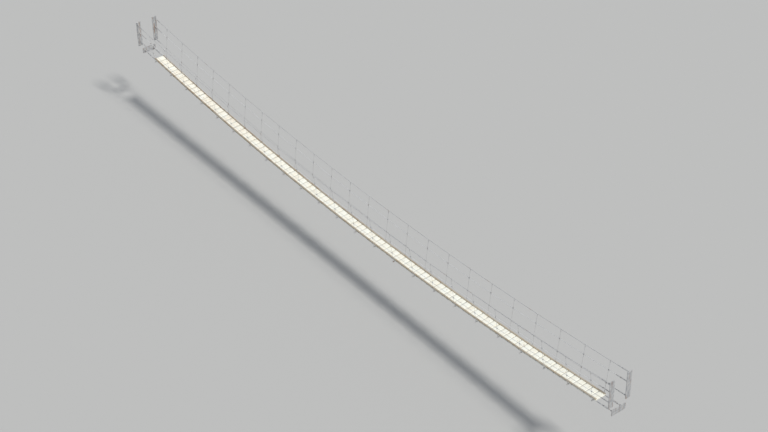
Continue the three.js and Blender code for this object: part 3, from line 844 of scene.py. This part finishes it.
runner_material = timber_material(
    "brown_runners",
    pale=(0.52, 0.45, 0.34, 1.0),
    tan=(0.25, 0.18, 0.115, 1.0),
    latewood=(0.25, 0.19, 0.125, 1.0),
    grey=(0.42, 0.385, 0.33, 1.0),
    knot=(0.12, 0.08, 0.05, 1.0),
    crack=(0.06, 0.045, 0.03, 1.0),
)
random = np.random.default_rng(19)
for side, sign in SIDES.items():
    made = [runner(section, sign, random) for section in range(SECTION_COUNT)]
    rings, grain, tone = zip(*made)
    make_piece(f"edge_runner_{side}", rings, runner_material,
               values={"grain": grain, "tone": tone})


def placed(solid, origins, axes):
    """Copies of one solid, each at its origin, with its own X, Y and Z along the rows of its axes."""
    return np.einsum("rpk,nkj->nrpj", solid[0], axes) + origins[:, None, None]


def deck_frames(x, y, lift):
    """Places at a height square to the hanging line, and axes along it, across it and square to it."""
    along, up = line_frame(x)
    origins = np.stack([x, np.full_like(x, y), cable_z(x)], -1) + up * lift
    across = np.broadcast_to([0.0, 1.0, 0.0], up.shape)
    return origins, np.stack([along, across, up], axis=1)


plain_x = FIRST_BOARD_X + BOARD_PITCH * np.array([i for i in range(BOARD_COUNT) if i % BOARDS_PER_BAY])
head = stack(round_outline(BOLT_HEAD_RADIUS, 8), BOLT_HEAD_HEIGHTS, BOLT_HEAD_SHARES)
for side, sign in SIDES.items():
    origins, axes = deck_frames(plain_x, sign * DECK_CABLE_Y, RUNNER_TOP - BOLT_HEAD_LET_IN)
    heads = placed(head, origins, axes)
    make_piece(f"runner_bolts_{side}", [heads], fitting_material)


# Foot brackets and their bolts
# At every fourth board a galvanised flat of 40 by 8 mm lies crosswise under the deck cable. Two bolts of
# 8 mm, one on each side of the cable, draw it up: they run down through runner, board and bracket.

BRACKET_WIDTH = 0.040
BRACKET_THICKNESS = 0.008
BRACKET_INNER_Y = 0.150
BRACKET_OUTER_Y = 0.285
BRACKET_CORNER = 0.007
BRACKET_BEVEL = 0.0008
BRACKET_BOLT_REACH = 0.0165
BRACKET_BOLT_RADIUS = 0.0040
BRACKET_NUT_RADIUS = 0.0075
BRACKET_NUT_HEIGHT = 0.0065
BRACKET_WASHER_RADIUS = 0.0086
BRACKET_WASHER_THICKNESS = 0.0016
BRACKET_WASHER_BEVEL = 0.0004
BRACKET_BOLT_PROUD = 0.004
BOLT_END_BEVEL = 0.001
BOLT_END_SHARE = 0.8
UPSIDE_DOWN = ((1, 0, 0), (0, -1, 0), (0, 0, -1))

bracket_x = FIRST_BOARD_X + BOARD_PITCH * np.arange(0, BOARD_COUNT, BOARDS_PER_BAY)
bracket_length = BRACKET_OUTER_Y - BRACKET_INNER_Y
bracket_outline = rounded_rectangle(BRACKET_WIDTH, bracket_length, BRACKET_CORNER)
bracket = slab(bracket_outline, BRACKET_THICKNESS, BRACKET_BEVEL)
bracket_bottom = BRACKET_TOP - BRACKET_THICKNESS
bolt_end = bracket_bottom - BRACKET_WASHER_THICKNESS - BRACKET_NUT_HEIGHT - BRACKET_BOLT_PROUD
shank_heights = [bolt_end, bolt_end + BOLT_END_BEVEL, RUNNER_TOP]
bolt_shank = stack(round_outline(BRACKET_BOLT_RADIUS, 8), shank_heights, [BOLT_END_SHARE, 1.0, 1.0])
washer_outline = round_outline(BRACKET_WASHER_RADIUS, 12)
bolt_washer = slab(washer_outline, BRACKET_WASHER_THICKNESS, BRACKET_WASHER_BEVEL)
bolt_washer = moved(bolt_washer, (0, 0, 0), UPSIDE_DOWN)
bolt_nut = hexagon_nut(BRACKET_NUT_RADIUS, BRACKET_NUT_HEIGHT)
bolt_nut = moved(bolt_nut, (0, 0, -BRACKET_WASHER_THICKNESS), UPSIDE_DOWN)
for side, sign in SIDES.items():
    origins, axes = deck_frames(bracket_x, sign * (BRACKET_INNER_Y + BRACKET_OUTER_Y) / 2, bracket_bottom)
    make_piece(f"foot_brackets_{side}", [placed(bracket, origins, axes)], fitting_material,
               [f"side_net_{side}"])
    parts = []
    for leg in (-BRACKET_BOLT_REACH, BRACKET_BOLT_REACH):
        origins, axes = deck_frames(bracket_x, sign * DECK_CABLE_Y + leg, 0.0)
        parts.append(placed(bolt_shank, origins, axes))
        parts.append(placed(head + np.array([0.0, 0.0, RUNNER_TOP - BOLT_HEAD_LET_IN]), origins, axes))
        parts.append(placed(bolt_washer + np.array([0.0, 0.0, bracket_bottom]), origins, axes))
        parts.append(placed(bolt_nut + np.array([0.0, 0.0, bracket_bottom]), origins, axes))
    make_piece(f"bracket_bolts_{side}", parts, fitting_material)


# Side ropes
# A rope of 12 mm and one of 16 mm run along each side and close it between deck and handrail, pulled taut
# by their own screws. The middle one is newer and brighter.

SIDE_STEPS_PER_LAY = 7

# Each rope between deck and handrail: its radius, its lay and its material
SIDE_ROPES = {"lower": (0.0060, 0.086, rope_material), "middle": (0.0080, 0.112, new_rope_material)}

for side, sign in SIDES.items():
    for rope, (radius, lay, material) in SIDE_ROPES.items():
        rings, map_rows = long_rope(rope, sign, radius, lay, FINE_STRAND, SIDE_STEPS_PER_LAY)
        make_piece(f"{rope}_rope_{side}", [rings], material, [f"side_net_{side}"],
                   STRAND_CREASE, turns=[map_rows])


# Hangers
# An eye bolt stands in the outer end of each foot bracket. A 9 mm wire rope is looped through its eye and
# over the handrail, and each loop is closed by a pressed ferrule with a short tail standing out of it.

EYE_BAR_RADIUS = 0.0040
EYE_RADIUS = 0.0130
EYE_HEIGHT = 0.0270
EYE_SHANK_RADIUS = 0.0050
EYE_SHANK_START = -0.0260
EYE_SHANK_END = 0.016
EYE_SHANK_NECK = 0.9
EYE_NUT_RADIUS = 0.0092
EYE_NUT_HEIGHT = 0.0065
EYE_NUT_TURN = 0.3
EYE_WASHER_RADIUS = 0.0130
EYE_WASHER_THICKNESS = 0.0025
EYE_WASHER_BEVEL = 0.0006
HANGER_RADIUS = 0.0045
HANGER_LAY = 0.075
LOWER_LOOP = 0.045
UPPER_LOOP = 0.060
ROPE_IN_FERRULE = 0.002
FERRULE_LENGTH = 0.024
FERRULE_WIDTH = 0.0200
FERRULE_THICKNESS = 0.0125
FERRULE_CORNER = 0.005625
FERRULE_BEVEL = 0.002
TAIL_LENGTH = 0.010
TAIL_RADIUS = 0.004275
TAIL_BEVEL = 0.0008
LOWER_LOOP_LIFT = BRACKET_TOP + EYE_HEIGHT + EYE_RADIUS


def loop_path(radius, reach):
    """A loop: two straight legs from a ferrule at this reach, tangent to an arc round the back of a bar."""
    away = math.hypot(HANGER_RADIUS, reach)
    touch = math.atan2(HANGER_RADIUS, reach) + math.acos(radius / away)
    angle = np.linspace(touch, 2.0 * math.pi - touch, 15)
    across = np.concatenate([[HANGER_RADIUS], radius * np.sin(angle), [-HANGER_RADIUS]])
    along = np.concatenate([[reach], radius * np.cos(angle), [reach]])
    return across, along


def rope_loop(centres, side, out, up, radius, reach):
    """Loops about bars: across runs out of the side's plane, along runs up the hanger."""
    across, along = loop_path(radius, reach)
    path = centres[:, None] + across[:, None] * out[:, None] + along[:, None] * up[:, None]
    lay_turns = np.hypot(np.gradient(across), np.gradient(along)).cumsum() / HANGER_LAY
    map_rows = np.stack(np.broadcast_arrays(np.arange(8) / 8, lay_turns[:, None]), -1)
    map_rows = np.broadcast_to(map_rows, (len(centres),) + map_rows.shape)
    return bar_along(path, side[:, None], HANGER_RADIUS, 8), map_rows


def at_brackets(sign, y, lift):
    """The points of a side's rope over its foot brackets."""
    return np.stack([bracket_x, np.full_like(bracket_x, sign * y), cable_z(bracket_x) + lift], -1)


def hanger_frames(sign):
    """The middles of a side's lower and upper loops, and axes along the side, out of it and up it."""
    low = deck_frames(bracket_x, sign * side_y(LOWER_LOOP_LIFT), LOWER_LOOP_LIFT)[0]
    high = at_brackets(sign, HANDRAIL_Y, HANDRAIL_LIFT)
    up = (high - low) / np.linalg.norm(high - low, axis=1, keepdims=True)
    side_way = np.array([1.0, 0.0, 0.0]) - up[:, :1] * up
    side_way /= np.linalg.norm(side_way, axis=1, keepdims=True)
    return low, high, np.stack([side_way, np.cross(up, side_way), up], axis=1)


eye_angle = np.linspace(-math.pi / 2, 3 * math.pi / 2, 21)
eye_z = EYE_HEIGHT + EYE_RADIUS * np.sin(eye_angle)
eye_path = np.stack([EYE_RADIUS * np.cos(eye_angle), np.zeros(21), eye_z], -1)
eye = bar_along(eye_path[None], np.array([0.0, 1.0, 0.0]), EYE_BAR_RADIUS, 8)
shank_heights = [EYE_SHANK_START, EYE_SHANK_START + BOLT_END_BEVEL, EYE_SHANK_END]
shank_shares = [BOLT_END_SHARE, 1.0, EYE_SHANK_NECK]
shank = stack(round_outline(EYE_SHANK_RADIUS, 10), shank_heights, shank_shares)
eye_washer = slab(round_outline(EYE_WASHER_RADIUS, 16), EYE_WASHER_THICKNESS, EYE_WASHER_BEVEL)
eye_nut = hexagon_nut(EYE_NUT_RADIUS, EYE_NUT_HEIGHT, EYE_NUT_TURN)
upper_nut = eye_nut + np.array([0.0, 0.0, EYE_WASHER_THICKNESS])
lower_washer = eye_washer - np.array([0.0, 0.0, BRACKET_THICKNESS + EYE_WASHER_THICKNESS])
lower_nut = eye_nut - np.array([0.0, 0.0, BRACKET_THICKNESS + EYE_WASHER_THICKNESS + EYE_NUT_HEIGHT])
ferrule_outline = rounded_rectangle(FERRULE_WIDTH, FERRULE_THICKNESS, FERRULE_CORNER)
ferrule = slab(ferrule_outline[:, ::-1] * [1.0, -1.0], FERRULE_LENGTH, FERRULE_BEVEL)
tail = slab(round_outline(TAIL_RADIUS, 8), TAIL_LENGTH, TAIL_BEVEL)

for side, sign in SIDES.items():
    origins, axes = deck_frames(bracket_x, sign * side_y(LOWER_LOOP_LIFT), BRACKET_TOP)
    solids = (eye, shank, eye_washer, upper_nut, lower_washer, lower_nut)
    parts = [placed(solid, origins, axes) for solid in solids]
    make_piece(f"eye_bolts_{side}", parts, fitting_material)

    low, high, hanger_axes = hanger_frames(sign)
    side_way, out, up = np.moveaxis(hanger_axes, 1, 0)
    length = np.linalg.norm(high - low, axis=1)
    lower_end = LOWER_LOOP + FERRULE_LENGTH - ROPE_IN_FERRULE
    upper_end = UPPER_LOOP + FERRULE_LENGTH - ROPE_IN_FERRULE
    steps = int(length.mean() / HANGER_LAY * SIDE_STEPS_PER_LAY)
    run = lower_end + np.linspace(0.0, 1.0, steps) * (length[:, None] - lower_end - upper_end)
    turns = run / HANGER_LAY
    centre = low[:, None] + run[..., None] * up[:, None]
    rope, map_rows = stranded(centre, side_way[:, None], out[:, None], turns, HANGER_RADIUS, FINE_STRAND)
    loops = [
        rope_loop(low, side_way, out, up, EYE_BAR_RADIUS + HANGER_RADIUS, LOWER_LOOP),
        rope_loop(high, -side_way, out, -up, HANDRAIL_RADIUS + HANGER_RADIUS, UPPER_LOOP),
    ]
    loop_rings, loop_rows = zip(*loops)
    make_piece(f"hangers_{side}", [rope, *loop_rings], rope_material, [f"side_net_{side}"],
               STRAND_CREASE, turns=[map_rows, *loop_rows])

    lower_ferrule = low + up * LOWER_LOOP
    upper_ferrule = high - up * (UPPER_LOOP + FERRULE_LENGTH)
    lower_tail = lower_ferrule + up * FERRULE_LENGTH + out * HANGER_RADIUS
    upper_tail = upper_ferrule - up * TAIL_LENGTH + out * HANGER_RADIUS
    parts = [placed(ferrule, lower_ferrule, hanger_axes), placed(ferrule, upper_ferrule, hanger_axes)]
    parts += [placed(tail, lower_tail, hanger_axes), placed(tail, upper_tail, hanger_axes)]
    make_piece(f"hanger_ferrules_{side}", parts, fitting_material)


# Crossing clamps
# Where a hanger crosses the lower and the middle rope, both lie between two pressed steel plates, which
# two small bolts draw together.

CLAMP_SIZE = 0.040
CLAMP_CORNER = 0.007
CLAMP_PLATE = 0.0075
CLAMP_BITE = 0.0105
CLAMP_BEVEL = 0.0012
CLAMP_BOLT = 0.0125
CLAMP_BOLT_RADIUS = 0.0058
CLAMP_BOLT_HEIGHT = 0.0040

clamp_plate = slab(rounded_rectangle(CLAMP_SIZE, CLAMP_SIZE, CLAMP_CORNER, 3), CLAMP_PLATE, CLAMP_BEVEL)
clamp_bolt = hexagon_nut(CLAMP_BOLT_RADIUS, CLAMP_BOLT_HEIGHT)


def crossing_clamp(rope_radius):
    """Two plates that stand as far apart as the rope leaves them, with a bolt in two of their corners."""
    gap = 2 * rope_radius - CLAMP_BITE
    solids = []
    for facing in (1.0, -1.0):
        turned_axes = ((facing, 0, 0), (0, 0, -1), (0, facing, 0))
        solids.append(moved(clamp_plate, (0.0, facing * gap / 2, 0.0), turned_axes))
        for corner in (-CLAMP_BOLT, CLAMP_BOLT):
            outer_face = facing * (gap / 2 + CLAMP_PLATE)
            solids.append(moved(clamp_bolt, (corner, outer_face, corner), turned_axes))
    return solids


for side, sign in SIDES.items():
    low, high, clamp_axes = hanger_frames(sign)
    parts = []
    for rope, (radius, lay, material) in SIDE_ROPES.items():
        y, lift, size = ROPES[rope]
        crossing = at_brackets(sign, y, lift)
        parts += [placed(solid, crossing, clamp_axes) for solid in crossing_clamp(radius)]
    make_piece(f"crossing_clamps_{side}", parts, fitting_material)
